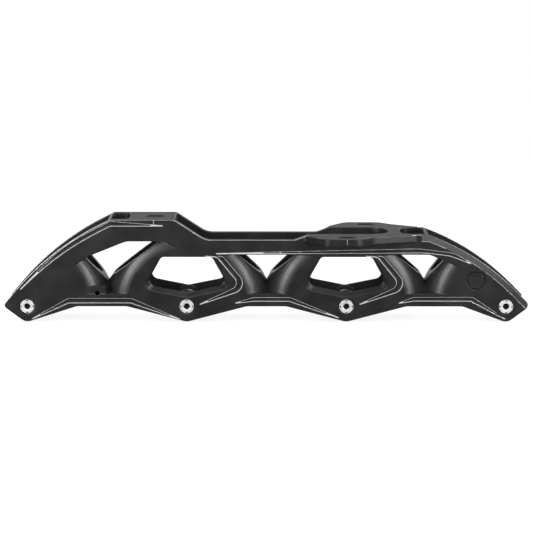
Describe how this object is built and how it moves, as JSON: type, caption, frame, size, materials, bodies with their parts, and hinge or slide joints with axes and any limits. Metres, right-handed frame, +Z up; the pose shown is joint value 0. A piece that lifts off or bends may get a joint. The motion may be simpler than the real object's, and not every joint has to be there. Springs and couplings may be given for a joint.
{
  "type": "inline skate frame",
  "caption": "Cast inline skate frame with windowed side walls, wheel bays, a slotted heel deck and two staggered front ears, and screw axles that draw out sideways.",
  "frame": {"origin": "on the floor under the feet, midway between the first and last axle, in the middle of the frame's width", "axes": "+X forward to the toe, +Y to the inner side of a right foot, +Z up to the boot"},
  "size_m": [0.3664, 0.072, 0.0724],
  "materials": {
    "casting": "satin black coat on cast light alloy, decks and edges worn to grey",
    "axle_steel": "turned and plated steel",
    "insert_steel": "turned steel"
  },
  "bodies": {
    "frame": {"chassis": "casting", "insert_rear": "insert_steel", "insert_mid_rear": "insert_steel", "insert_mid_front": "insert_steel", "insert_front": "insert_steel"},
    "axle_rear_body": {"axle_rear": "axle_steel"},
    "axle_mid_rear_body": {"axle_mid_rear": "axle_steel"},
    "axle_mid_front_body": {"axle_mid_front": "axle_steel"},
    "axle_front_body": {"axle_front": "axle_steel"}
  },
  "joints": [
    {"name": "axle_rear_withdraw", "type": "slide", "parent": "frame", "child": "axle_rear_body", "axis": [0, -1, 0], "range_m": [0, 0.031]},
    {"name": "axle_mid_rear_withdraw", "type": "slide", "parent": "frame", "child": "axle_mid_rear_body", "axis": [0, -1, 0], "range_m": [0, 0.031]},
    {"name": "axle_mid_front_withdraw", "type": "slide", "parent": "frame", "child": "axle_mid_front_body", "axis": [0, -1, 0], "range_m": [0, 0.031]},
    {"name": "axle_front_withdraw", "type": "slide", "parent": "frame", "child": "axle_front_body", "axis": [0, -1, 0], "range_m": [0, 0.031]}
  ]
}
